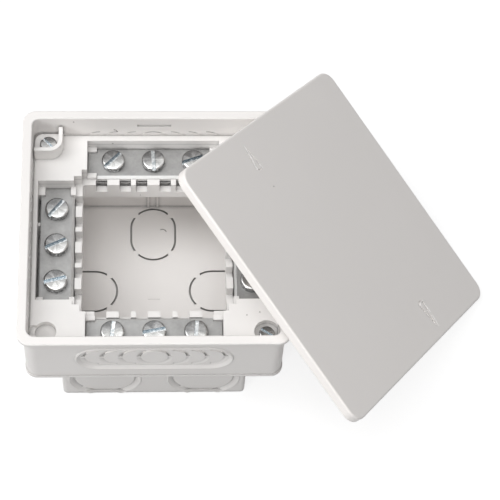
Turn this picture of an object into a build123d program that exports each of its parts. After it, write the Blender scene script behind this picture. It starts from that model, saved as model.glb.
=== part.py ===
# Electrical mounting box with a terminal carrier and a loose cover.
# Millimetres. The origin is the centre of the box's back face, +Z points to its open side,
# +Y is the far side in the photograph and +X its right-hand side.
from build123d import *
import os

os.makedirs("parts", exist_ok=True)

# Driving dimensions, read from the photograph with the rim taken as 86 mm wide.
height = 51.0
rim_width = 86.0
rim_corner = 4.4
rim_thick = 1.3
rim_overhang = 1.7
rim_bevel = 0.3
tray_wall = 1.4
tray_corner = 3.9
mouth_corner = 2.6
bead_proud = 0.3
bead_height = 1.1
ledge_thick = 1.8

well_box_inset = 4.9
well_box_notch = 6.0
well_box_wall = 1.8
well_box_corner = 1.6
floor_thick = 1.6
foot_strip = 1.4

deck_drop = 10.1
deck_thick = 1.8
carrier_gap = 0.5
pocket_wall = 1.2
pocket_inset = 2.7
pocket_below_screws = 0.4
pocket_above_ledge = 1.6
skirt_thick = 2.2
skirt_to_bar = 0.3
deck_step = 2.7
tooth_below_bar = 0.5
wire_slot_width = 3.8
wire_slot_depth = 4.4
wire_slot_offset = 3.95

bar_below_deck = 5.1
bar_thick = 2.0
bar_depth = 11.1
bar_half = 18.9
bar_bevel = 0.8
tongue_width = 8.2
tongue_length = 2.9
tongue_gap = 0.25
clip_gap = 0.1
clip_rise = 0.9
stop_along = 8.2
stop_width = 1.1
screw_pitch = 13.4
screw_to_edge = 5.3

screw_radius = 1.95
thread_gap = 0.05
bar_hole_gap = 0.35
head_radius = 3.85
head_height = 2.4
head_seat_gap = 0.05
shank_length = 7.1
head_slot_width = 1.3
head_slot_depth = 1.0
plate_width = 12.4
plate_gap = 0.3
plate_thick = 0.9
plate_below_bar = 1.5
plate_lip = 0.5

guard_reach = 9.3
guard_thick = 1.3
guard_drop = 4.3
boss_rise = 1.2

cover_width = 95.3
cover_corner = 4.6
cover_thick = 3.0
cover_skin = 2.4
cover_border = 1.6
cover_table_gap = 0.17
mark_edge = 4.05

# Widths and heights that follow from the sizes above.
tray_half = rim_width / 2 - rim_overhang
tray_width = 2 * tray_half
mouth_half = tray_half - tray_wall
mouth_width = 2 * mouth_half
well_box_reach = tray_half - well_box_inset
well_box_half = well_box_reach - well_box_notch
carrier_width = mouth_width - 2 * carrier_gap
bar_outer = mouth_half - pocket_inset
bar_inner = bar_outer - bar_depth
screw_line = bar_outer - screw_to_edge
skirt_inner = bar_inner - skirt_to_bar
well_half = skirt_inner - skirt_thick
pocket_half = bar_half + tongue_length + tongue_gap

deck_z = height - deck_drop
bar_top = deck_z - bar_below_deck
bar_bottom = bar_top - bar_thick
tooth_top = bar_top - tooth_below_bar
plate_top = bar_bottom - plate_below_bar
head_seat = bar_top + head_seat_gap
pocket_floor = head_seat - shank_length - pocket_below_screws
pocket_bottom = pocket_floor - pocket_wall
ledge_top = pocket_bottom - pocket_above_ledge
tray_bottom = ledge_top - ledge_thick

# Corner places in plan, two with a screw and two with a plain pillar.
SCREW_REAR_LEFT = (5.0 - mouth_half, mouth_half - 5.1)
SCREW_FRONT_RIGHT = (mouth_half - 4.1, 6.1 - mouth_half)
PILLAR_FRONT_LEFT = (5.4 - mouth_half, 6.5 - mouth_half)
PILLAR_REAR_RIGHT = (mouth_half - 5.0, mouth_half - 5.1)

TURNS = {"front": 0, "right": 90, "rear": 180, "left": 270}
# Space between each bar and the outer wall of its pocket.
BAR_GAP = {"front": 0.3, "right": 0.9, "rear": 0.3, "left": 0.9}


def side_plane(turn, distance, level):
    """A plane facing outward on one of the four sides, x along the side, y up."""
    return Plane(
        origin=Vector(0, -distance, level).rotate(Axis.Z, turn),
        x_dir=Vector(1, 0, 0).rotate(Axis.Z, turn),
        z_dir=Vector(0, -1, 0).rotate(Axis.Z, turn),
    )


def top_plane(turn, level):
    """A horizontal plane whose y runs outward through one of the four sides."""
    return Plane(
        origin=(0, 0, level),
        x_dir=Vector(-1, 0, 0).rotate(Axis.Z, turn),
        z_dir=(0, 0, 1),
    )


def rounded_square(width, corner, mode=Mode.ADD):
    """Draw a square with rounded corners in the open sketch."""
    RectangleRounded(width, width, corner, mode=mode)


def stepped_cross(reach, half, corner):
    """Draw the plan of the lower box, a square whose four corners are notched."""
    Rectangle(2 * reach, 2 * half)
    Rectangle(2 * half, 2 * reach)
    outer = [
        v for v in vertices() if abs(max(abs(v.X), abs(v.Y)) - reach) < 0.01
    ]
    fillet(outer, corner)


def half_ring(middle, side, radius, width):
    """Draw one half of a ring, open toward the middle of the row."""
    thin = radius - width
    with BuildLine() as outline:
        outer = ThreePointArc((middle, radius), (middle + side * radius, 0), (middle, -radius))
        inner = ThreePointArc((middle, thin), (middle + side * thin, 0), (middle, -thin))
        Line(outer @ 0, inner @ 0)
        Line(outer @ 1, inner @ 1)
    make_face(outline.edges())


# Row of overlapping round knock-outs in each wall of the upper tray, in a raised frame.
row_level = height - 13.8
row_pitch = 5.92
row_radius = 5.8
row_end_radius = 7.5
row_depth = 0.5
row_bead = 0.45
row_bead_slope = 0.35
row_length = 6 * row_pitch
row_tab = 0.9
groove_width = 1.5
groove_foot = 0.2
groove_depth = 0.55
inner_line_width = 0.5
inner_line_depth = 0.2

# Pair of stepped round knock-outs in each wall of the lower box, each in a raised ring.
ring_radius = 12.2
disc_radius = 10.2
ring_depth = 1.0
ring_bead = 0.25
ring_bead_slope = 0.3
disc_raise = 0.45
disc_gap = 0.45
ring_level = tray_bottom - 13.1
ring_at = well_box_half - 14.15
tab_width = 1.5

# Long thin-walled knock-outs in the floor, one at the rear and one at each side.
slot_half_length = 10.4
slot_half_width = 8.0
slot_line = 0.65
slot_web = 0.4
slot_at = well_box_reach - well_box_wall - 12.0
slot_rear_shift = 0.7
slot_shift = 0.9
bridge_width = 1.3

# Pillars in the four corners of the tray that carry the deck, and their two screws.
pillar_radius = 3.2
corner_shank_radius = 1.45
corner_shank_gap = 0.25
corner_shank_length = 7.0
corner_head_height = 1.4
corner_slot_width = 0.9
corner_slot_depth = 0.7
recess_depth = 2.3
recess_floor = 0.8
recess_wall = 0.9
# Each corner is its place, the pillar's top and the radius of its recess, 0 at the boss.
cup_bottom = deck_z - recess_depth - recess_floor
CORNERS = [
    (SCREW_REAR_LEFT, deck_z - deck_thick, 0),
    (SCREW_FRONT_RIGHT, cup_bottom, 4.0),
    (PILLAR_FRONT_LEFT, cup_bottom, 3.45),
    (PILLAR_REAR_RIGHT, cup_bottom, 3.45),
]

FRONT_TRAY = side_plane(0, tray_half, row_level)
FRONT_WELL = side_plane(0, well_box_reach, ring_level)
ROW_HALVES = [
    (side * (row_length / 2 - step * row_pitch), side) for step in range(4) for side in (-1, 1)
]

# What stands proud on one side: the long frame of the row and the two rings.
with BuildPart() as side_beads:
    with BuildSketch(FRONT_TRAY.offset(-0.1)):
        SlotCenterToCenter(row_length, 2 * row_end_radius + 0.2)
    with BuildSketch(FRONT_TRAY.offset(row_bead)):
        SlotCenterToCenter(row_length, 2 * (row_end_radius - row_bead_slope))
    loft()
    for across in (-ring_at, ring_at):
        with BuildSketch(FRONT_WELL.offset(-0.1)):
            with Locations((across, 0)):
                Circle(ring_radius + 0.1)
        with BuildSketch(FRONT_WELL.offset(ring_bead)):
            with Locations((across, 0)):
                Circle(ring_radius - ring_bead_slope)
        loft()

# The stepped discs and their tabs, which the cuts go round.
with BuildPart() as side_discs:
    with BuildSketch(FRONT_WELL.offset(-ring_depth - 0.1)):
        with Locations((-ring_at, 0), (ring_at, 0)):
            Circle(disc_radius - disc_gap)
            with Locations(Rotation(0, 0, -44)):
                Rectangle(tab_width, 2 * disc_radius + 1.2)
    extrude(amount=disc_raise + 0.1)

# What is cut on one side: the long recess with its half rings, repeated faintly on the
# inner face, and the two conical rings. A tab is left uncut at the tip of each half ring.
with BuildPart() as side_cuts:
    for middle, side in ROW_HALVES:
        with BuildSketch(FRONT_TRAY.offset(-row_depth + 0.01)):
            half_ring(middle, side, row_radius, groove_width)
        with BuildSketch(FRONT_TRAY.offset(-row_depth - groove_depth)):
            half_ring(middle, side, row_radius - groove_width + groove_foot, groove_foot)
        loft()
    with BuildSketch(FRONT_TRAY.offset(-row_depth)):
        for middle, side in ROW_HALVES:
            with Locations((middle + side * (row_radius - groove_width / 2), 0)):
                Rectangle(groove_width + 0.3, row_tab)
    extrude(amount=-groove_depth - 0.1, mode=Mode.SUBTRACT)
    with BuildSketch(side_plane(0, mouth_half, row_level)):
        for middle, side in ROW_HALVES:
            half_ring(middle, side, row_radius, inner_line_width)
    extrude(amount=inner_line_depth)
    with BuildSketch(FRONT_TRAY.offset(row_bead + 0.01)):
        SlotCenterToCenter(row_length, 2 * (row_end_radius - row_bead_slope) - 0.3)
    with BuildSketch(FRONT_TRAY.offset(-row_depth)):
        SlotCenterToCenter(row_length, 2 * (row_radius + 0.1))
    loft()
    for across in (-ring_at, ring_at):
        with BuildSketch(FRONT_WELL.offset(ring_bead + 0.01)):
            with Locations((across, 0)):
                Circle(ring_radius - ring_bead_slope - 0.2)
        with BuildSketch(FRONT_WELL.offset(-ring_depth)):
            with Locations((across, 0)):
                Circle(disc_radius)
        loft()
    add(side_discs.part, mode=Mode.SUBTRACT)

# Box shell, one moulding with its knock-outs still closed.
with BuildPart() as box_shell:
    with BuildSketch(Plane.XY.offset(tray_bottom)):
        rounded_square(tray_width, tray_corner)
    extrude(amount=height - tray_bottom)
    with BuildSketch(Plane.XY.offset(height - rim_thick)):
        rounded_square(rim_width, rim_corner)
    extrude(amount=rim_thick)
    with BuildSketch(Plane.XY.offset(tray_bottom)):
        rounded_square(tray_width + 2 * bead_proud, tray_corner)
    extrude(amount=bead_height)
    with BuildSketch(Plane.XY):
        stepped_cross(well_box_reach, well_box_half, well_box_corner)
    extrude(amount=tray_bottom)
    with BuildSketch(Plane.XY.offset(ledge_top)):
        rounded_square(mouth_width, mouth_corner)
    extrude(amount=height - ledge_top, mode=Mode.SUBTRACT)
    with BuildSketch(Plane.XY.offset(floor_thick)):
        stepped_cross(well_box_reach - well_box_wall, well_box_half - well_box_wall, 0.6)
    extrude(amount=height - floor_thick, mode=Mode.SUBTRACT)
    rim_edges = box_shell.edges().filter_by(
        lambda e: abs(e.center().Z - height) < 0.01 and abs(e.bounding_box().size.Z) < 0.01
    )
    chamfer(rim_edges, rim_bevel)

    # Corner pillars and the small catch recess in the far wall.
    for place, top, recess in CORNERS:
        with BuildSketch(Plane.XY.offset(ledge_top - 0.2)):
            with Locations(place):
                Circle(pillar_radius)
        extrude(amount=top - ledge_top + 0.2)
        if place in (SCREW_REAR_LEFT, SCREW_FRONT_RIGHT):
            with BuildSketch(Plane.XY.offset(top)):
                with Locations(place):
                    Circle(corner_shank_radius + thread_gap)
            extrude(amount=-corner_shank_length, mode=Mode.SUBTRACT)
    with Locations((0.3, mouth_half, height - 4.4)):
        Box(11.2, 0.8, 1.4, mode=Mode.SUBTRACT)

    # Two upright ribs on the far wall of the lower box.
    for across in (-1.7, 1.5):
        with Locations((across, well_box_reach - well_box_wall - 0.15, ledge_top / 2 + 0.6)):
            Box(0.7, 0.7, ledge_top - 2.0)

    # The relief of each side, first what stands proud and then what is cut.
    for turn in TURNS.values():
        add(side_beads.part.rotate(Axis.Z, turn))
    for turn in TURNS.values():
        add(side_cuts.part.rotate(Axis.Z, turn), mode=Mode.SUBTRACT)
    # The rings end in a plain strip round the foot of the lower box.
    with BuildSketch(Plane.XY):
        Rectangle(3 * tray_width, 3 * tray_width)
    extrude(amount=-2 * ring_radius, mode=Mode.SUBTRACT)
    with BuildSketch(Plane.XY):
        stepped_cross(well_box_reach, well_box_half, well_box_corner)
        Rectangle(2 * (well_box_reach - well_box_wall), 2 * (well_box_half - 4), mode=Mode.SUBTRACT)
        Rectangle(2 * (well_box_half - 4), 2 * (well_box_reach - well_box_wall), mode=Mode.SUBTRACT)
    extrude(amount=foot_strip)

    # Floor knock-outs, a thin groove broken by four bridges.
    for turn, reach in (
        ("rear", slot_at + slot_rear_shift),
        ("right", slot_at),
        ("left", slot_at),
    ):
        along = 0 if turn == "rear" else slot_shift
        place = {
            "rear": Location((0, reach, floor_thick), (0, 0, 90)),
            "right": Location((reach, along, floor_thick)),
            "left": Location((-reach, along, floor_thick)),
        }[turn]
        slot_length = 2 * (slot_half_length - slot_half_width)
        with BuildSketch(Plane(place)):
            SlotCenterToCenter(slot_length, 2 * slot_half_width)
            SlotCenterToCenter(slot_length, 2 * (slot_half_width - slot_line), mode=Mode.SUBTRACT)
            for sx in (-1, 1):
                for sy in (-1, 1):
                    with Locations((sx * (slot_half_length - 2.6), sy * (slot_half_width - 1.6))):
                        Circle(bridge_width, mode=Mode.SUBTRACT)
        extrude(amount=-(floor_thick - slot_web), mode=Mode.SUBTRACT)
box_shell.part.label = "box_shell"

# Terminal carrier, the white deck with four pockets around the central well.
with BuildPart() as terminal_carrier:
    with BuildSketch(Plane.XY.offset(deck_z - deck_thick)):
        rounded_square(carrier_width, mouth_corner)
    extrude(amount=deck_thick)
    for name, turn in TURNS.items():
        block_depth = bar_outer + BAR_GAP[name] + pocket_wall - well_half
        with BuildSketch(top_plane(turn, pocket_bottom)):
            with Locations((0, well_half + block_depth / 2)):
                Rectangle(2 * (pocket_half + pocket_wall), block_depth)
        extrude(amount=deck_z - pocket_bottom - 0.1)
    # Corner posts join the four pocket blocks, then the well is cut through them.
    with BuildSketch(Plane.XY.offset(pocket_bottom)):
        rounded_square(2 * (well_half + deck_step + 0.6), 0.8)
    extrude(amount=deck_z - pocket_bottom - 0.1)
    with BuildSketch(Plane.XY.offset(pocket_bottom - 1)):
        rounded_square(2 * well_half, 0.8)
    extrude(amount=height, mode=Mode.SUBTRACT)
    with BuildSketch(Plane.XY.offset(tooth_top)):
        Rectangle(2 * well_half + 0.4, 2 * (well_half + deck_step))
        Rectangle(2 * (well_half + deck_step), 2 * well_half + 0.4)
    extrude(amount=height, mode=Mode.SUBTRACT)

    for name, turn in TURNS.items():
        # The space above the bar, then the space under it.
        pocket_reach = bar_outer + BAR_GAP[name]
        pocket_middle = (skirt_inner + pocket_reach) / 2
        with BuildSketch(top_plane(turn, tooth_top)):
            with Locations((0, (well_half + pocket_reach) / 2)):
                Rectangle(2 * pocket_half, pocket_reach - well_half)
        extrude(amount=height, mode=Mode.SUBTRACT)
        with BuildSketch(top_plane(turn, pocket_floor)):
            with Locations((0, pocket_middle)):
                Rectangle(2 * pocket_half, pocket_reach - skirt_inner)
        extrude(amount=height, mode=Mode.SUBTRACT)
        # Shelves under the bar's end tongues, with a clip on each side of the tongue.
        clip_length = pocket_half - bar_half - clip_gap
        inner_clip = (bar_depth - tongue_width) / 2 + skirt_to_bar - clip_gap
        outer_clip = (bar_depth - tongue_width) / 2 + BAR_GAP[name] - clip_gap
        for side in (-1, 1):
            with BuildSketch(top_plane(turn, pocket_floor - 0.1)):
                with Locations((side * (pocket_half - 0.8), pocket_middle)):
                    Rectangle(1.8, pocket_reach - skirt_inner + 0.2)
            extrude(amount=bar_bottom - pocket_floor + 0.1)
            with BuildSketch(top_plane(turn, bar_bottom - 0.1)):
                clip_x = side * (pocket_half + 0.1 - (clip_length + 0.1) / 2)
                with Locations((clip_x, skirt_inner + inner_clip / 2 - 0.05)):
                    Rectangle(clip_length + 0.1, inner_clip + 0.1)
                with Locations((clip_x, pocket_reach - outer_clip / 2 + 0.05)):
                    Rectangle(clip_length + 0.1, outer_clip + 0.1)
            extrude(amount=bar_thick + clip_rise + 0.1)
        # A small stop keeps the bar off the wall where the space beside it is wide.
        if BAR_GAP[name] > 0.5:
            with BuildSketch(top_plane(turn, pocket_floor)):
                with Locations((stop_along, pocket_reach - BAR_GAP[name] / 2 + 0.1)):
                    Rectangle(stop_width, BAR_GAP[name] + 0.2 - 2 * clip_gap)
            extrude(amount=bar_top - pocket_floor + 0.4)
        # Wire slots between the teeth, one on each side of every screw.
        with BuildSketch(top_plane(turn, tooth_top - wire_slot_depth)):
            for screw in (-screw_pitch, 0, screw_pitch):
                for side in (-1, 1):
                    with Locations((screw + side * wire_slot_offset, (well_half + skirt_inner) / 2)):
                        Rectangle(wire_slot_width, skirt_thick + 0.2)
        extrude(amount=wire_slot_depth + 1, mode=Mode.SUBTRACT)

    # Rear left corner, a bent guard wall around the raised platform of the screw.
    with BuildSketch(Plane.XY.offset(deck_z - 0.1)):
        with Locations((-carrier_width / 2, carrier_width / 2)):
            rounded_square(2 * guard_reach, 4.4)
            rounded_square(2 * (guard_reach - guard_thick), 3.1, mode=Mode.SUBTRACT)
        rounded_square(carrier_width, mouth_corner, mode=Mode.INTERSECT)
    extrude(amount=deck_drop - guard_drop + 0.1)
    with BuildSketch(Plane.XY.offset(deck_z - 0.1)):
        with Locations((-carrier_width / 2, carrier_width / 2)):
            rounded_square(2 * (guard_reach - guard_thick / 2), 3.7)
        rounded_square(carrier_width, mouth_corner, mode=Mode.INTERSECT)
    extrude(amount=boss_rise + 0.1)

    # Cups over the other three pillars, the small round step beside one, and the screw holes.
    for place, top, recess in CORNERS:
        if recess:
            with BuildSketch(Plane.XY.offset(top)):
                with Locations(place):
                    Circle(recess + recess_wall)
                rounded_square(carrier_width, mouth_corner, mode=Mode.INTERSECT)
            extrude(amount=deck_z - top - 0.1)
            with BuildSketch(Plane.XY.offset(deck_z - recess_depth)):
                with Locations(place):
                    Circle(recess)
            extrude(amount=recess_depth, mode=Mode.SUBTRACT)
        if place in (SCREW_REAR_LEFT, SCREW_FRONT_RIGHT):
            with BuildSketch(Plane.XY.offset(top)):
                with Locations(place):
                    Circle(corner_shank_radius + corner_shank_gap)
            extrude(amount=deck_thick + boss_rise, mode=Mode.SUBTRACT)
    with BuildSketch(Plane.XY.offset(deck_z - recess_depth / 2)):
        with Locations((PILLAR_FRONT_LEFT[0] - 3.6, PILLAR_FRONT_LEFT[1] + 0.6)):
            Circle(1.7)
    extrude(amount=recess_depth, mode=Mode.SUBTRACT)
terminal_carrier.part.label = "terminal_carrier"

export_step(box_shell.part, "parts/box_shell.step")
export_step(terminal_carrier.part, "parts/terminal_carrier.step")

# Four terminal bars, each seated on its end tongues in a pocket.
for name, turn in TURNS.items():
    with BuildPart() as bar:
        with BuildSketch(top_plane(turn, bar_bottom)):
            with Locations((0, bar_inner + bar_depth / 2)):
                Rectangle(2 * bar_half, bar_depth)
                Rectangle(2 * (bar_half + tongue_length), tongue_width)
            with Locations(*[(x, screw_line) for x in (-screw_pitch, 0, screw_pitch)]):
                Circle(screw_radius + bar_hole_gap, mode=Mode.SUBTRACT)
        extrude(amount=bar_thick)
        # The sheared edge on the well side is broken wide and bright.
        inward = Vector(0, 1, 0).rotate(Axis.Z, turn)
        upper = bar.edges().group_by(Axis.Z)[-1].filter_by(GeomType.LINE)
        sheared = upper.filter_by(lambda e: e.center().dot(inward) > -bar_inner - 0.01)
        chamfer(sheared, bar_bevel)
    bar.part.label = f"terminal_bar_{name}"
    export_step(bar.part, f"parts/terminal_bar_{name}.step")

# Twelve terminal screws with a slotted pan head, and the clamp plates that ride on them.
# The slot angles are those of the photograph, anticlockwise from +X.
SLOT_ANGLES = {
    "rear": (45, 94, 19),
    "left": (51, 25, 14),
    "front": (83, 11, 84),
    "right": (32, 68, 120),
}
# In each pocket the three places run left to right, or rear to front at the sides.
PLACES = {
    "rear": [(-screw_pitch, screw_line), (0, screw_line), (screw_pitch, screw_line)],
    "left": [(-screw_line, screw_pitch), (-screw_line, 0), (-screw_line, -screw_pitch)],
    "front": [(-screw_pitch, -screw_line), (0, -screw_line), (screw_pitch, -screw_line)],
    "right": [(screw_line, screw_pitch), (screw_line, 0), (screw_line, -screw_pitch)],
}
plate_depth = bar_depth - 2 * plate_gap
for name, turn in TURNS.items():
    for number, (place, angle) in enumerate(zip(PLACES[name], SLOT_ANGLES[name]), start=1):
        with BuildPart() as screw:
            with Locations((place[0], place[1], head_seat)):
                Cylinder(head_radius, head_height, align=(Align.CENTER, Align.CENTER, Align.MIN))
                Cylinder(screw_radius, shank_length, align=(Align.CENTER, Align.CENTER, Align.MAX))
            fillet(screw.edges().group_by(Axis.Z)[-1], 0.7)
            with BuildSketch(Plane.XY.offset(head_seat + head_height - head_slot_depth)):
                with Locations(Location((place[0], place[1]), angle)):
                    Rectangle(2 * head_radius + 1, head_slot_width)
            extrude(amount=head_height, mode=Mode.SUBTRACT)
        screw.part.label = f"terminal_screw_{name}_{number}"
        export_step(screw.part, f"parts/terminal_screw_{name}_{number}.step")

        # A square plate whose two ends turn up beside the screw.
        with BuildPart() as plate:
            across = Vector(place[0], place[1], 0).dot(Vector(1, 0, 0).rotate(Axis.Z, turn))
            half = plate_width / 2
            with BuildSketch(side_plane(turn, bar_inner + plate_gap, plate_top)):
                with BuildLine():
                    Polyline(
                        (across - half, plate_lip),
                        (across - half + 0.5, plate_lip),
                        (across - half + 1.6, 0),
                        (across + half - 1.6, 0),
                        (across + half - 0.5, plate_lip),
                        (across + half, plate_lip),
                        (across + half - 1.1, -plate_thick),
                        (across - half + 1.1, -plate_thick),
                        close=True,
                    )
                make_face()
            extrude(amount=plate_depth)
            with BuildSketch(Plane.XY.offset(plate_top - plate_thick - 1)):
                with Locations(place):
                    Circle(screw_radius + thread_gap)
            extrude(amount=plate_thick + 2, mode=Mode.SUBTRACT)
        plate.part.label = f"clamp_plate_{name}_{number}"
        export_step(plate.part, f"parts/clamp_plate_{name}_{number}.step")

# Two screws hold the carrier on its pillars.
for name, place, bottom, seat, corner_head_radius, angle in (
    ("rear_left", SCREW_REAR_LEFT, deck_z - deck_thick, deck_z + boss_rise, 2.85, -48),
    ("front_right", SCREW_FRONT_RIGHT, cup_bottom, deck_z - recess_depth, 2.45, -34),
):
    with BuildPart() as corner_screw:
        shank = seat - bottom + corner_shank_length - 0.3
        with Locations((place[0], place[1], seat)):
            Cylinder(
                corner_head_radius,
                corner_head_height,
                align=(Align.CENTER, Align.CENTER, Align.MIN),
            )
            Cylinder(corner_shank_radius, shank, align=(Align.CENTER, Align.CENTER, Align.MAX))
        fillet(corner_screw.edges().group_by(Axis.Z)[-1], 0.5)
        with BuildSketch(Plane.XY.offset(seat + corner_head_height - corner_slot_depth)):
            with Locations(Location(place, angle)):
                Rectangle(2 * corner_head_radius + 1, corner_slot_width)
        extrude(amount=corner_head_height, mode=Mode.SUBTRACT)
    corner_screw.part.label = f"carrier_screw_{name}"
    export_step(corner_screw.part, f"parts/carrier_screw_{name}.step")

# The cover, taken off and leaning on the rim's right edge with its lowest corner on the table.
# Its tilt is the photograph's, and its place follows from the two pieces that it rests on.
COVER_RIGHT = Vector(0.5783, -0.7093, -0.4031)
COVER_FACE = Vector(0.6030, 0.0388, 0.7968)
COVER_UP = COVER_FACE.cross(COVER_RIGHT)
cover_y = -0.08
rest_y = rim_width / 2 - 12.7
rest_edge = Vector(rim_width / 2 - rim_bevel, rest_y, height)
corner_centre = cover_width / 2 - cover_corner
corner_drop = corner_centre * (abs(COVER_RIGHT.Z) + abs(COVER_UP.Z))
corner_drop += cover_corner * (COVER_RIGHT.Z**2 + COVER_UP.Z**2) ** 0.5
cover_z = corner_drop + cover_thick * COVER_FACE.Z + cover_table_gap
lift = rest_edge.dot(COVER_FACE) + cover_thick - cover_y * COVER_FACE.Y - cover_z * COVER_FACE.Z
cover_plane = Plane(
    origin=(lift / COVER_FACE.X, cover_y, cover_z), x_dir=COVER_RIGHT, z_dir=COVER_FACE
)
with BuildPart() as cover:
    with BuildSketch(cover_plane):
        rounded_square(cover_width, cover_corner)
    extrude(amount=-cover_thick)
    top_edges = cover.edges().filter_by(
        lambda e: abs(cover_plane.to_local_coords(e.center()).Z) < 0.01
    )
    fillet(top_edges, 0.7)
    with BuildSketch(cover_plane.offset(-cover_thick)):
        rounded_square(cover_width - 2 * cover_border, cover_corner - cover_border)
    extrude(amount=cover_thick - cover_skin, mode=Mode.SUBTRACT)
    # Two drop-shaped marks, one near each of two opposite edges.
    for side in (-1, 1):
        with BuildSketch(Plane(cover_plane.origin, -side * COVER_RIGHT, COVER_FACE)):
            with BuildLine():
                point = (mark_edge - cover_width / 2, -14.2)
                upper_line = Line(point, (point[0] + 9.0, point[1] + 1.5))
                lower_line = Line(point, (point[0] + 9.0, point[1] - 1.6))
                round_end = (point[0] + 10.2, point[1] - 0.1)
                ThreePointArc(upper_line @ 1, round_end, lower_line @ 1)
            make_face()
            offset(amount=-0.35, mode=Mode.SUBTRACT)
        extrude(amount=-0.3, mode=Mode.SUBTRACT)
cover.part.label = "cover"
export_step(cover.part, "parts/cover.step")
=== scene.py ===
"""Electrical mounting box: finishes, small detail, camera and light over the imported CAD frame."""

import math

import bpy
from mathutils import Matrix, Quaternion, Vector


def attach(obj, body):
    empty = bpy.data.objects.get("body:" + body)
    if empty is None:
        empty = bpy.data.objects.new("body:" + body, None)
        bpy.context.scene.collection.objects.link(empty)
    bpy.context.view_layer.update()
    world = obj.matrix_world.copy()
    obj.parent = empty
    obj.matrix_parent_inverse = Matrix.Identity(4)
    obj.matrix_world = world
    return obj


MM = 0.001

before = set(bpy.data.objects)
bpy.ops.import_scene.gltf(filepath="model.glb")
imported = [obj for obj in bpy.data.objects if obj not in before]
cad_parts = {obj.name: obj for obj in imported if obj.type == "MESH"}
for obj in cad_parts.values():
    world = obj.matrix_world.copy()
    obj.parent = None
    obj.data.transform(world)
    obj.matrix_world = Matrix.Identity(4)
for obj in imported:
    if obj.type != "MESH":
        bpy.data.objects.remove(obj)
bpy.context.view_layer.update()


# Materials

def new_material(name):
    """A material with nodes, its shader and its object, box and normal coordinates."""
    material = bpy.data.materials.new(name)
    material.use_nodes = True
    nodes = material.node_tree.nodes
    coords = nodes.new("ShaderNodeTexCoord")
    return material, nodes, material.node_tree.links, nodes["Principled BSDF"], coords.outputs


def noise(nodes, links, where, scale, detail=3.0, roughness=0.5):
    """A noise value over the given coordinates."""
    texture = nodes.new("ShaderNodeTexNoise")
    texture.inputs["Scale"].default_value = scale
    texture.inputs["Detail"].default_value = detail
    texture.inputs["Roughness"].default_value = roughness
    links.new(where, texture.inputs["Vector"])
    return texture.outputs["Fac"]


def colour_ramp(nodes, links, value, stops):
    """A colour that follows a value, from (position, colour) stops."""
    ramp = nodes.new("ShaderNodeValToRGB")
    elements = ramp.color_ramp.elements
    while len(elements) < len(stops):
        elements.new(0.5)
    for element, (position, colour) in zip(elements, stops):
        element.position = position
        element.color = (*colour, 1)
    links.new(value, ramp.inputs["Fac"])
    return ramp.outputs["Color"]


def remapped(nodes, links, value, from_low, from_high, low, high):
    """A value moved from one range to another, and held inside it."""
    remap = nodes.new("ShaderNodeMapRange")
    for name, number in (("From Min", from_low), ("From Max", from_high), ("To Min", low), ("To Max", high)):
        remap.inputs[name].default_value = number
    links.new(value, remap.inputs["Value"])
    return remap.outputs["Result"]


def mixed(nodes, links, factor, first, second):
    """A mix of two colours, each a socket or plain numbers."""
    mix = nodes.new("ShaderNodeMix")
    mix.data_type = "RGBA"
    links.new(factor, mix.inputs["Factor"])
    for socket, colour in ((mix.inputs[6], first), (mix.inputs[7], second)):
        if isinstance(colour, tuple):
            socket.default_value = (*colour, 1)
        else:
            links.new(colour, socket)
    return mix.outputs[2]


def calculated(nodes, links, operation, first, second):
    """A sum on two values, each a socket or a number."""
    step = nodes.new("ShaderNodeMath")
    step.operation = operation
    for socket, value in zip(step.inputs, (first, second)):
        if isinstance(value, float):
            socket.default_value = value
        else:
            links.new(value, socket)
    return step.outputs["Value"]


def vector_sum(nodes, links, operation, first, second):
    """A sum on two vectors, the second a socket, plain numbers or nothing."""
    step = nodes.new("ShaderNodeVectorMath")
    step.operation = operation
    links.new(first, step.inputs[0])
    if isinstance(second, tuple):
        step.inputs[1].default_value = second
    elif second is not None:
        links.new(second, step.inputs[1])
    return step.outputs["Vector"]


def relief(nodes, links, shader, value, strength, distance, edge_radius):
    """A fine relief over softly rounded edges."""
    rounding = nodes.new("ShaderNodeBevel")
    rounding.samples = 6
    rounding.inputs["Radius"].default_value = edge_radius
    bump = nodes.new("ShaderNodeBump")
    bump.inputs["Strength"].default_value = strength
    bump.inputs["Distance"].default_value = distance
    links.new(value, bump.inputs["Height"])
    links.new(rounding.outputs["Normal"], bump.inputs["Normal"])
    links.new(bump.outputs["Normal"], shader.inputs["Normal"])


def vector_parts(nodes, links, vector):
    """The three numbers of a vector."""
    parts = nodes.new("ShaderNodeSeparateXYZ")
    links.new(vector, parts.inputs["Vector"])
    return parts.outputs


def moulded_plastic(name, pale, shade, roughness, uneven, edge_radius=0.25 * MM):
    """Moulded plastic with a faint flow mottle, a fine grain and uneven gloss."""
    material, nodes, links, shader, coords = new_material(name)
    where = coords["Object"]
    mottle = noise(nodes, links, where, 42, detail=5, roughness=0.6)
    colour = colour_ramp(nodes, links, mottle, [(0.34, shade), (0.64, pale)])
    links.new(colour, shader.inputs["Base Color"])
    gloss = noise(nodes, links, where, 120)
    smooth = remapped(nodes, links, gloss, 0.3, 0.7, roughness - uneven, roughness + uneven)
    links.new(smooth, shader.inputs["Roughness"])
    grain = noise(nodes, links, where, 2400, detail=2)
    relief(nodes, links, shader, grain, 0.1, 0.04 * MM, edge_radius)
    shader.inputs["Specular IOR Level"].default_value = 0.45
    shader.inputs["IOR"].default_value = 1.49
    return material


def height_off(nodes, links, height):
    """How far a point is above or below a height."""
    coords = nodes.new("ShaderNodeTexCoord")
    level = vector_parts(nodes, links, coords.outputs["Object"])["Z"]
    return calculated(nodes, links, "ABSOLUTE", calculated(nodes, links, "SUBTRACT", level, height), 0.0)


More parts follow.
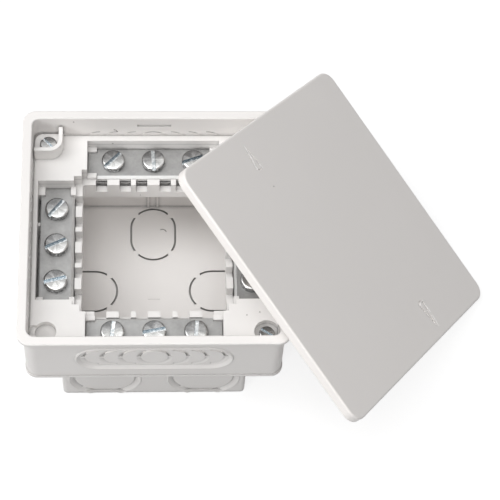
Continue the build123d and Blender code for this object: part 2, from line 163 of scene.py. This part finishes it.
def paint_groove_shade(material, share, unshaded_height=None):
    """Painted shade: grooves and tight corners darker by ambient occlusion, save round one height."""
    nodes, links = material.node_tree.nodes, material.node_tree.links
    base = nodes["Principled BSDF"].inputs["Base Color"]
    colour = base.links[0].from_socket
    # Painted shade: ambient occlusion darkens the base colour in grooves and tight corners.
    hollow = nodes.new("ShaderNodeAmbientOcclusion")
    hollow.samples = 4
    hollow.inputs["Distance"].default_value = 1.5 * MM
    light = remapped(nodes, links, hollow.outputs["AO"], 0.3, 0.92, share, 1.0)
    if unshaded_height is not None:
        off = height_off(nodes, links, unshaded_height)
        near = remapped(nodes, links, off, 1 * MM, 2 * MM, 1.0, 0.0)
        light = calculated(nodes, links, "MAXIMUM", light, near)
    links.new(vector_sum(nodes, links, "MULTIPLY", colour, light), base)


def paint_level_shade(material, share, height):
    """Painted shade: surfaces at one height darker."""
    nodes, links = material.node_tree.nodes, material.node_tree.links
    base = nodes["Principled BSDF"].inputs["Base Color"]
    colour = base.links[0].from_socket
    light = remapped(nodes, links, height_off(nodes, links, height), 0.2 * MM, 0.4 * MM, share, 1.0)
    links.new(vector_sum(nodes, links, "MULTIPLY", colour, light), base)


def sheared_zinc(name, pale, shade, bevel_highlight, bright, roughness):
    """Dull zinc with cloudy patches and rolling marks; bevels and front edges painted lighter as painted
    highlights.
    """
    material, nodes, links, shader, coords = new_material(name)
    where = coords["Object"]
    cloud = noise(nodes, links, where, 230, detail=6, roughness=0.68)
    face = colour_ramp(nodes, links, cloud, [(0.3, shade), (0.7, pale)])
    facing = vector_parts(nodes, links, coords["Normal"])
    # Painted highlight: faces turned to the front take the bright colour.
    edge = remapped(nodes, links, facing["Y"], -0.5, -0.2, 1.0, 0.0)
    # Painted highlight: bevel faces, tilted about 45 degrees, take a lighter colour.
    tilt = calculated(nodes, links, "SUBTRACT", facing["Z"], math.sqrt(0.5))
    tilt = calculated(nodes, links, "ABSOLUTE", tilt, 0.0)
    slope = remapped(nodes, links, tilt, 0.08, 0.16, 1.0, 0.0)
    toned = mixed(nodes, links, slope, face, bevel_highlight)
    links.new(mixed(nodes, links, edge, toned, bright), shader.inputs["Base Color"])
    marks = noise(nodes, links, where, 1900, detail=3)
    gloss = remapped(nodes, links, marks, 0.3, 0.7, roughness - 0.06, roughness + 0.1)
    links.new(gloss, shader.inputs["Roughness"])
    relief(nodes, links, shader, marks, 0.2, 0.02 * MM, 0.12 * MM)
    shader.inputs["Metallic"].default_value = 0.6
    return material


def turned_zinc(name):
    """Bright zinc screw: a turned head with painted sheen and painted shade, brighter to the front; the
    head's side painted dark as a reflection; a bluish slot wall painted dark as shade and a slot floor
    painted pale as a highlight.
    """
    material, nodes, links, shader, coords = new_material(name)
    centred = vector_sum(nodes, links, "SUBTRACT", coords["Generated"], (0.5, 0.5, 0.0))
    flat = vector_sum(nodes, links, "MULTIPLY", centred, (2.0, 2.0, 0.0))
    spread_out = vector_sum(nodes, links, "MULTIPLY", coords["Object"], (60.0, 60.0, 60.0))
    direction = vector_sum(nodes, links, "NORMALIZE", flat, None)
    # Painted sheen: light and dark streaks that fan out from the head's centre.
    fan = noise(nodes, links, vector_sum(nodes, links, "ADD", direction, spread_out), 1.4, detail=3)
    # Painted shade and highlight: the head is darker to the rear and brighter to the front.
    lean = nodes.new("ShaderNodeVectorMath")
    lean.operation = "DOT_PRODUCT"
    links.new(flat, lean.inputs[0])
    lean.inputs[1].default_value = (0.08, -0.28, 0.0)
    soft_fan = remapped(nodes, links, fan, 0.0, 1.0, 0.22, 0.74)
    tone = calculated(nodes, links, "ADD", soft_fan, lean.outputs["Value"])
    face = colour_ramp(
        nodes, links, tone,
        [(0.28, (0.20, 0.20, 0.20)), (0.44, (0.38, 0.38, 0.38)), (0.58, (0.54, 0.54, 0.53)),
         (0.72, (0.88, 0.88, 0.87))],
    )
    radius = nodes.new("ShaderNodeVectorMath")
    radius.operation = "LENGTH"
    links.new(flat, radius.inputs[0])
    level = vector_parts(nodes, links, coords["Generated"])["Z"]
    upward = vector_parts(nodes, links, coords["Normal"])["Z"]
    streak = noise(nodes, links, coords["Object"], 1300, detail=4)
    # Painted reflection: the head's side is dark, in streaks. The slot wall is bluish zinc, painted dark as
    # shade.
    rim = colour_ramp(nodes, links, streak, [(0.4, (0.12, 0.12, 0.12)), (0.6, (0.55, 0.55, 0.55))])
    outside = remapped(nodes, links, radius.outputs["Value"], 0.93, 0.97, 0.0, 1.0)
    wall = mixed(nodes, links, outside, (0.10, 0.14, 0.17), rim)
    is_wall = remapped(nodes, links, upward, 0.15, 0.45, 1.0, 0.0)
    with_wall = mixed(nodes, links, is_wall, face, wall)
    facing_up = remapped(nodes, links, upward, 0.75, 0.85, 0.0, 1.0)
    below_top = remapped(nodes, links, level, 0.955, 0.965, 1.0, 0.0)
    in_slot = calculated(nodes, links, "MULTIPLY", facing_up, below_top)
    # Painted highlight: the slot floor is pale.
    slot = colour_ramp(nodes, links, streak, [(0.4, (0.52, 0.56, 0.58)), (0.6, (0.86, 0.88, 0.89))])
    links.new(mixed(nodes, links, in_slot, with_wall, slot), shader.inputs["Base Color"])
    rings = nodes.new("ShaderNodeTexWave")
    rings.wave_type = "RINGS"
    rings.rings_direction = "Z"
    rings.inputs["Scale"].default_value = 5.0
    rings.inputs["Distortion"].default_value = 0.6
    links.new(flat, rings.inputs["Vector"])
    links.new(remapped(nodes, links, streak, 0.3, 0.7, 0.16, 0.3), shader.inputs["Roughness"])
    relief(nodes, links, shader, rings.outputs["Fac"], 0.2, 0.02 * MM, 0.12 * MM)
    shader.inputs["Metallic"].default_value = 1.0
    return material


def speck_material(name, dark, light, roughness):
    """The slightly uneven tone of a small mark."""
    material, nodes, links, shader, coords = new_material(name)
    tone = noise(nodes, links, coords["Object"], 3000)
    links.new(colour_ramp(nodes, links, tone, [(0.35, dark), (0.65, light)]), shader.inputs["Base Color"])
    shader.inputs["Roughness"].default_value = roughness
    return material


GAP_HEIGHT = 40.5 * MM
CUP_FLOOR = 38.6 * MM

SHELL = moulded_plastic("shell_plastic", (0.95, 0.925, 0.905), (0.93, 0.905, 0.885), 0.42, 0.05)
# Painted shade in the shell's grooves and corners, none round the gap height.
paint_groove_shade(SHELL, 0.4, unshaded_height=GAP_HEIGHT)
CARRIER = moulded_plastic(
    "carrier_plastic", (0.95, 0.932, 0.915), (0.93, 0.912, 0.895), 0.38, 0.05, edge_radius=0.15 * MM
)
# Painted shade in the carrier's grooves and corners.
paint_groove_shade(CARRIER, 0.72)
# Painted shade on the floor of the carrier's cups.
paint_level_shade(CARRIER, 0.8, CUP_FLOOR)
COVER = moulded_plastic("cover_plastic", (0.96, 0.925, 0.90), (0.95, 0.915, 0.89), 0.26, 0.008)
# The bars' bevels and front edges take lighter colours: painted highlights.
BAR = sheared_zinc(
    "bar_zinc", (0.425, 0.423, 0.418), (0.305, 0.303, 0.30), (0.66, 0.66, 0.65), (0.80, 0.80, 0.79), 0.46
)
SCREW = turned_zinc("screw_zinc")
PLATE = sheared_zinc(
    "plate_zinc", (0.66, 0.66, 0.65), (0.54, 0.54, 0.54), (0.60, 0.60, 0.59), (0.60, 0.60, 0.59), 0.4
)
DUST = speck_material("dust", (0.10, 0.09, 0.08), (0.24, 0.22, 0.20), 0.8)
FAINT = speck_material("faint_line", (0.50, 0.48, 0.46), (0.62, 0.60, 0.58), 0.6)
# A grey that stands for the shade in the gap round the tray's mouth: painted shade.
GAP_SHADE = speck_material("painted_gap_shade", (0.60, 0.59, 0.575), (0.72, 0.705, 0.69), 0.6)
BURR = speck_material("burr", (0.93, 0.92, 0.91), (0.97, 0.96, 0.95), 0.25)

FINISH = {
    "box_shell": SHELL,
    "terminal_carrier": CARRIER,
    "cover": COVER,
    "terminal_bar": BAR,
    "terminal_screw": SCREW,
    "carrier_screw": SCREW,
    "clamp_plate": PLATE,
}
for name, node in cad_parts.items():
    finish = next(FINISH[start] for start in FINISH if name.startswith(start))
    for place in node.material_slots:
        place.material = finish


# Small marks, as photographed, in millimetres

def settle(piece, material):
    """Give a mark its material and let it move with the box."""
    piece.data.materials.append(material)
    piece.data.polygons.foreach_set("use_smooth", [True] * len(piece.data.polygons))
    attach(piece, "housing")


def fleck(name, place, size, material):
    """A tiny lump on a surface, with its length along each axis."""
    bpy.ops.mesh.primitive_ico_sphere_add(subdivisions=2, radius=0.5, location=Vector(place) * MM)
    piece = bpy.context.object
    piece.name = name
    piece.scale = Vector(size) * MM
    settle(piece, material)


def scratch(name, points, width, material):
    """A fine line through points on a surface."""
    path = bpy.data.curves.new(name, "CURVE")
    path.dimensions = "3D"
    path.bevel_depth = width / 2 * MM
    path.bevel_resolution = 2
    line = path.splines.new("POLY")
    line.points.add(len(points) - 1)
    for point, place in zip(line.points, points):
        point.co = (*(Vector(place) * MM), 1)
    piece = bpy.data.objects.new(name, path)
    bpy.context.collection.objects.link(piece)
    bpy.ops.object.select_all(action="DESELECT")
    piece.select_set(True)
    bpy.context.view_layer.objects.active = piece
    bpy.ops.object.convert(target="MESH")
    settle(piece, material)


def rounded_ring(half, corner, level, steps=6):
    """Points round a square with rounded corners, from its half width."""
    points = []
    for quarter in range(4):
        middle = math.radians(90 * quarter + 45)
        centre = Vector((math.cos(middle), math.sin(middle))) * math.sqrt(2) * (half - corner)
        for step in range(steps + 1):
            angle = math.radians(90 * quarter + 90 * step / steps)
            points.append((centre.x + corner * math.cos(angle), centre.y + corner * math.sin(angle), level))
    return points + points[:1]


WELL_FLOOR = 1.6
DECK = 40.9
REAR_WALL = 39.9
LEFT_WALL = -39.9
MOUTH_CORNER = 2.6
GAP_MIDDLE = 39.65
GAP_WIDTH = 0.5
GAP_SHADE_LEVEL = 40.3
BURR_LEVEL = 45.5

# Each speck has a place and a size.
SPECKS = {
    "speck_rear_wall": ((-26.4, REAR_WALL, 48.8), (0.5, 0.12, 0.4)),
    "speck_rear_pocket": ((-13.6, 37.5, 39.2), (0.35, 0.12, 0.45)),
    "speck_skirt": ((-4.4, 23.6, 28.6), (0.3, 0.12, 0.4)),
    "speck_deck_a": ((29.6, -27.9, DECK), (0.3, 0.45, 0.12)),
    "speck_deck_b": ((33.8, -26.9, DECK), (0.3, 0.6, 0.12)),
    "speck_cover": ((38.44, 9.16, 59.02), (0.5, 0.25, 0.25)),
    "speck_front_edge": ((28.4, -41.3, 23.9), (0.5, 0.12, 0.4)),
}
for name, (place, size) in SPECKS.items():
    fleck(name, place, size, DUST)

# Each burr has a place along the wall and a length.
BURRS = (
    (21.4, 1.6), (15.8, 1.6), (11.8, 1.2), (8.1, 1.6), (3.3, 1.2), (0.5, 0.9),
    (-5.5, 1.2), (-9.3, 1.6), (-13.5, 1.2), (-16.4, 1.2), (-25.6, 1.2), (-30.4, 0.9),
)
for number, (along, length) in enumerate(BURRS, start=1):
    fleck(f"burr_left_wall_{number}", (LEFT_WALL, along, BURR_LEVEL), (0.7, length, 0.6), BURR)

# Each line has its points, a width and a material. The first five are the cover's two marks.
LINES = {
    "mark_upper_ridge": (
        [(28.68, 20.82, 65.84), (29.53, 19.37, 65.26), (31.27, 16.72, 64.07),
         (33.15, 12.98, 62.84)], 0.25, BURR
    ),
    "mark_upper_spot": ([(33.81, 15.52, 62.21), (34.98, 14.6, 61.37)], 0.25, BURR),
    "mark_lower_loop": (
        [(90.99, -12.65, 20.33), (89.82, -13.22, 21.24), (89.1, -14.15, 21.83),
         (88.92, -14.99, 22.01), (89.35, -15.59, 21.71)], 0.25, BURR
    ),
    "mark_lower_ridge": ([(90.5, -13.99, 20.77), (92.53, -16.4, 19.35)], 0.25, BURR),
    "mark_lower_tail": ([(93.21, -17.18, 18.87), (95.32, -20.71, 17.44)], 0.14, BURR),
    "scratch_hook": (
        [(2.5, 25.0, WELL_FLOOR), (2.9, 25.3, WELL_FLOOR), (3.5, 25.3, WELL_FLOOR),
         (4.2, 24.9, WELL_FLOOR), (4.6, 24.3, WELL_FLOOR)], 0.2, DUST
    ),
    "scratch_floor": ([(-1.9, -2.2, WELL_FLOOR), (2.2, -2.2, WELL_FLOOR)], 0.12, FAINT),
    "scratch_rear_wall": (
        [(-13.2, REAR_WALL, 44.1), (-12.6, REAR_WALL, 43.9), (-12.0, REAR_WALL, 42.9)], 0.22, DUST
    ),
    # A grey strip laid in the gap between carrier and walls; its grey is painted shade standing in for the
    # gap.
    "seam_tray": (rounded_ring(GAP_MIDDLE, MOUTH_CORNER, GAP_SHADE_LEVEL), GAP_WIDTH, GAP_SHADE),
}
for name, (points, width, material) in LINES.items():
    scratch(name, points, width, material)


# Floor, background and light

FLOOR_WIDTH = 8
FLOOR_TONE = 0.35
FLOOR_GLOW = 0.78
WORLD_LIGHT = 0.21
LAMP_AIM = (0.02, 0, 0.03)
# Each lamp has a place and a width in metres, and a power in watts.
LAMPS = {
    "overhead": ((-0.16, 0.02, 1.05), 0.6, 2.8),
    "front_high": ((0, -0.50, 0.95), 0.5, 2.5),
    "left_high": ((-0.60, 0.10, 0.85), 0.5, 3.0),
    "left_low": ((-0.62, -0.62, 0.42), 0.2, 2.3),
}


def pale_floor():
    """A white floor that shows as the white background, and keeps the object's shadow."""
    bpy.ops.mesh.primitive_plane_add(size=FLOOR_WIDTH, location=(0, 0, -0.05 * MM))
    floor = bpy.context.object
    floor.name = "floor"
    material = bpy.data.materials.new("floor_white")
    material.use_nodes = True
    nodes, links = material.node_tree.nodes, material.node_tree.links
    shader = nodes["Principled BSDF"]
    shader.inputs["Base Color"].default_value = (FLOOR_TONE, FLOOR_TONE, FLOOR_TONE, 1)
    shader.inputs["Roughness"].default_value = 0.9
    shader.inputs["Specular IOR Level"].default_value = 0.0
    glow = nodes.new("ShaderNodeEmission")
    glow.inputs["Strength"].default_value = FLOOR_GLOW
    lifted = nodes.new("ShaderNodeAddShader")
    links.new(shader.outputs["BSDF"], lifted.inputs[0])
    links.new(glow.outputs["Emission"], lifted.inputs[1])
    seen = seen_rays(nodes, links)
    choice = nodes.new("ShaderNodeMixShader")
    links.new(seen, choice.inputs["Fac"])
    links.new(shader.outputs["BSDF"], choice.inputs[1])
    links.new(lifted.outputs["Shader"], choice.inputs[2])
    links.new(choice.outputs["Shader"], nodes["Material Output"].inputs["Surface"])
    floor.data.materials.append(material)


def seen_rays(nodes, links):
    """1 for camera, glossy and transmission rays, which see the background, and 0 for the rest."""
    path = nodes.new("ShaderNodeLightPath")
    total = path.outputs["Is Camera Ray"]
    for other in ("Is Glossy Ray", "Is Transmission Ray"):
        total = calculated(nodes, links, "MAXIMUM", total, path.outputs[other])
    return total


def white_world():
    """A pale world that lights the object plainly and shows as pure white."""
    world = bpy.data.worlds.new("studio")
    bpy.context.scene.world = world
    world.use_nodes = True
    nodes, links = world.node_tree.nodes, world.node_tree.links
    fill = nodes["Background"]
    fill.inputs["Color"].default_value = (1, 1, 1, 1)
    fill.inputs["Strength"].default_value = WORLD_LIGHT
    backdrop = nodes.new("ShaderNodeBackground")
    backdrop.inputs["Color"].default_value = (1, 1, 1, 1)
    backdrop.inputs["Strength"].default_value = 1.0
    choice = nodes.new("ShaderNodeMixShader")
    links.new(seen_rays(nodes, links), choice.inputs["Fac"])
    links.new(fill.outputs["Background"], choice.inputs[1])
    links.new(backdrop.outputs["Background"], choice.inputs[2])
    links.new(choice.outputs["Shader"], nodes["World Output"].inputs["Surface"])


def area_lamp(name, place, size, power):
    """A soft square lamp that faces the object."""
    lamp = bpy.data.lights.new(name, "AREA")
    lamp.size = size
    lamp.energy = power
    holder = bpy.data.objects.new(name, lamp)
    holder.location = place
    holder.rotation_euler = (Vector(LAMP_AIM) - Vector(place)).to_track_quat("-Z", "Y").to_euler()
    bpy.context.collection.objects.link(holder)


pale_floor()
white_world()
for name, (place, size, power) in LAMPS.items():
    area_lamp(name, place, size, power)


# Camera, solved from the straight edges of the photograph

CAMERA_PLACE = Vector((-3.10, -294.63, 578.89)) * MM
CAMERA_TARGET = Vector((32.27, 4.02, 25.50)) * MM
CAMERA_ROLL = math.radians(-5.76)
SENSOR_WIDTH = 36
FOCAL_LENGTH = 135.17

lens = bpy.data.cameras.new("photo_camera")
lens.sensor_width = SENSOR_WIDTH
lens.lens = FOCAL_LENGTH
lens.clip_start = 0.01
camera = bpy.data.objects.new("photo_camera", lens)
turn = (CAMERA_TARGET - CAMERA_PLACE).to_track_quat("-Z", "Y")
roll = Quaternion((0, 0, 1), -CAMERA_ROLL)
camera.matrix_world = Matrix.LocRotScale(CAMERA_PLACE, turn @ roll, None)
bpy.context.collection.objects.link(camera)
bpy.context.scene.camera = camera
bpy.context.scene.view_settings.view_transform = "Standard"
